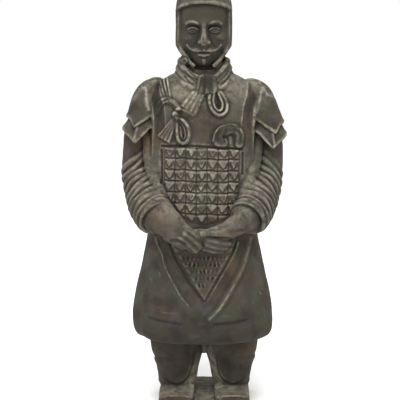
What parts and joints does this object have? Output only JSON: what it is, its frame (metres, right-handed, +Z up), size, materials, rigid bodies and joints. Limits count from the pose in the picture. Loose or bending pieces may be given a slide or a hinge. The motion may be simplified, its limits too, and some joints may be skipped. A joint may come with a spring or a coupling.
{
  "type": "terracotta warrior statue",
  "caption": "Standing statue of an armoured officer in plate armour, robe, scarf and cap, hands folded in front, on a low square base.",
  "frame": {"origin": "on the flat underside of the base, under the middle of the figure", "axes": "+Z up, the figure faces -Y and its left side is at +X"},
  "size_m": [0.1481, 0.1029, 0.3845],
  "materials": {
    "fired_clay": "matt unglazed fired clay, dark grey-brown, dusted with pale clay on its raised edges"
  },
  "bodies": {
    "root": {"warrior_figure": "fired_clay"}
  },
  "joints": []
}
